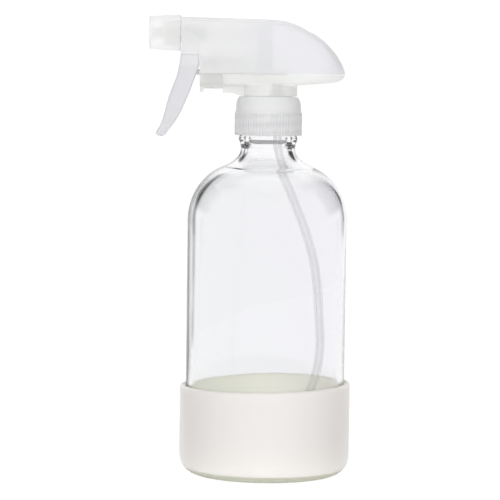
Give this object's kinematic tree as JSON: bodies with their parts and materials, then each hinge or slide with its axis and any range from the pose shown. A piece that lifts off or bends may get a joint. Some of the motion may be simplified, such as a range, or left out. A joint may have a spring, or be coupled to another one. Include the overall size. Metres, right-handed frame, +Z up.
{
  "type": "spray bottle",
  "caption": "Round-shouldered clear glass bottle in a soft base sleeve, with a screw-on trigger sprayer head, a turning nozzle and a bent dip tube.",
  "frame": {"origin": "centre of the base sleeve's flat underside, on the bottle's axis", "axes": "+Z up along the bottle's axis, -X the way the nozzle points, +Y to the nozzle's right-hand side seen from behind the head"},
  "size_m": [0.0963, 0.0804, 0.2159],
  "materials": {
    "clear_glass": "clear flint glass, polished",
    "sleeve_silicone": "soft matt silicone, warm white",
    "collar_plastic": "translucent natural polypropylene, ribbed",
    "body_plastic": "translucent natural polypropylene",
    "shroud_plastic": "milky translucent polypropylene, satin",
    "trigger_plastic": "milky polypropylene, satin",
    "nozzle_plastic": "milky polypropylene, satin",
    "tube_plastic": "translucent polyethylene tube",
    "piston_plastic": "white polyethylene",
    "seal_foam": "closed-cell foam liner",
    "seal_rubber": "moulded pale rubber",
    "spring_steel": "bright stainless wire",
    "ball_glass": "clear glass ball"
  },
  "bodies": {
    "bottle": {"bottle": "clear_glass", "sleeve": "sleeve_silicone"},
    "head": {"pump_body": "body_plastic", "tube_retainer": "body_plastic", "dip_tube": "tube_plastic", "neck_gasket": "seal_foam", "shroud": "shroud_plastic", "barrel_spinner": "piston_plastic", "nozzle_seal": "seal_rubber", "piston_spring": "spring_steel", "discharge_spring": "spring_steel"},
    "collar": {"collar": "collar_plastic"},
    "trigger": {"trigger": "trigger_plastic"},
    "piston": {"piston": "piston_plastic", "piston_seal": "seal_rubber", "vent_seal": "seal_rubber"},
    "nozzle": {"nozzle_cap": "nozzle_plastic", "nozzle_insert": "piston_plastic"},
    "inlet_ball": {"inlet_ball": "ball_glass"},
    "discharge_valve": {"discharge_valve": "piston_plastic"}
  },
  "joints": [
    {"name": "head_lift", "type": "slide", "parent": "bottle", "child": "head", "axis": [0, 0, 1], "range_m": [0, 0.00635]},
    {"name": "collar_turn", "type": "hinge", "parent": "head", "child": "collar", "pos_m": [0, 0, 0.169], "axis": [0, 0, 1], "range_deg": [0, 540]},
    {"name": "trigger_pull", "type": "hinge", "parent": "head", "child": "trigger", "pos_m": [-0.0372, 0, 0.2042], "axis": [0, -1, 0], "range_deg": [0, 24]},
    {"name": "piston_slide", "type": "slide", "parent": "head", "child": "piston", "axis": [1, 0, 0], "range_m": [0, 0.00628], "stiffness_N_per_m": 1300, "springref_m": -0.003, "deforming": ["piston_spring"]},
    {"name": "nozzle_turn", "type": "hinge", "parent": "head", "child": "nozzle", "pos_m": [-0.049, 0, 0.2075], "axis": [1, 0, 0], "continuous": true},
    {"name": "inlet_ball_lift", "type": "slide", "parent": "head", "child": "inlet_ball", "axis": [0, 0, 1], "range_m": [0, 0.0012]},
    {"name": "discharge_valve_open", "type": "slide", "parent": "head", "child": "discharge_valve", "axis": [-1, 0, 0], "range_m": [0, 0.001], "stiffness_N_per_m": 150, "springref_m": -0.001, "deforming": ["discharge_spring"]}
  ],
  "couplings": [
    {"joint": "collar_turn", "follows": "head_lift", "rad_per_m": 1484.3},
    {"joint": "trigger_pull", "follows": "piston_slide", "rad_per_m": 66.667}
  ]
}
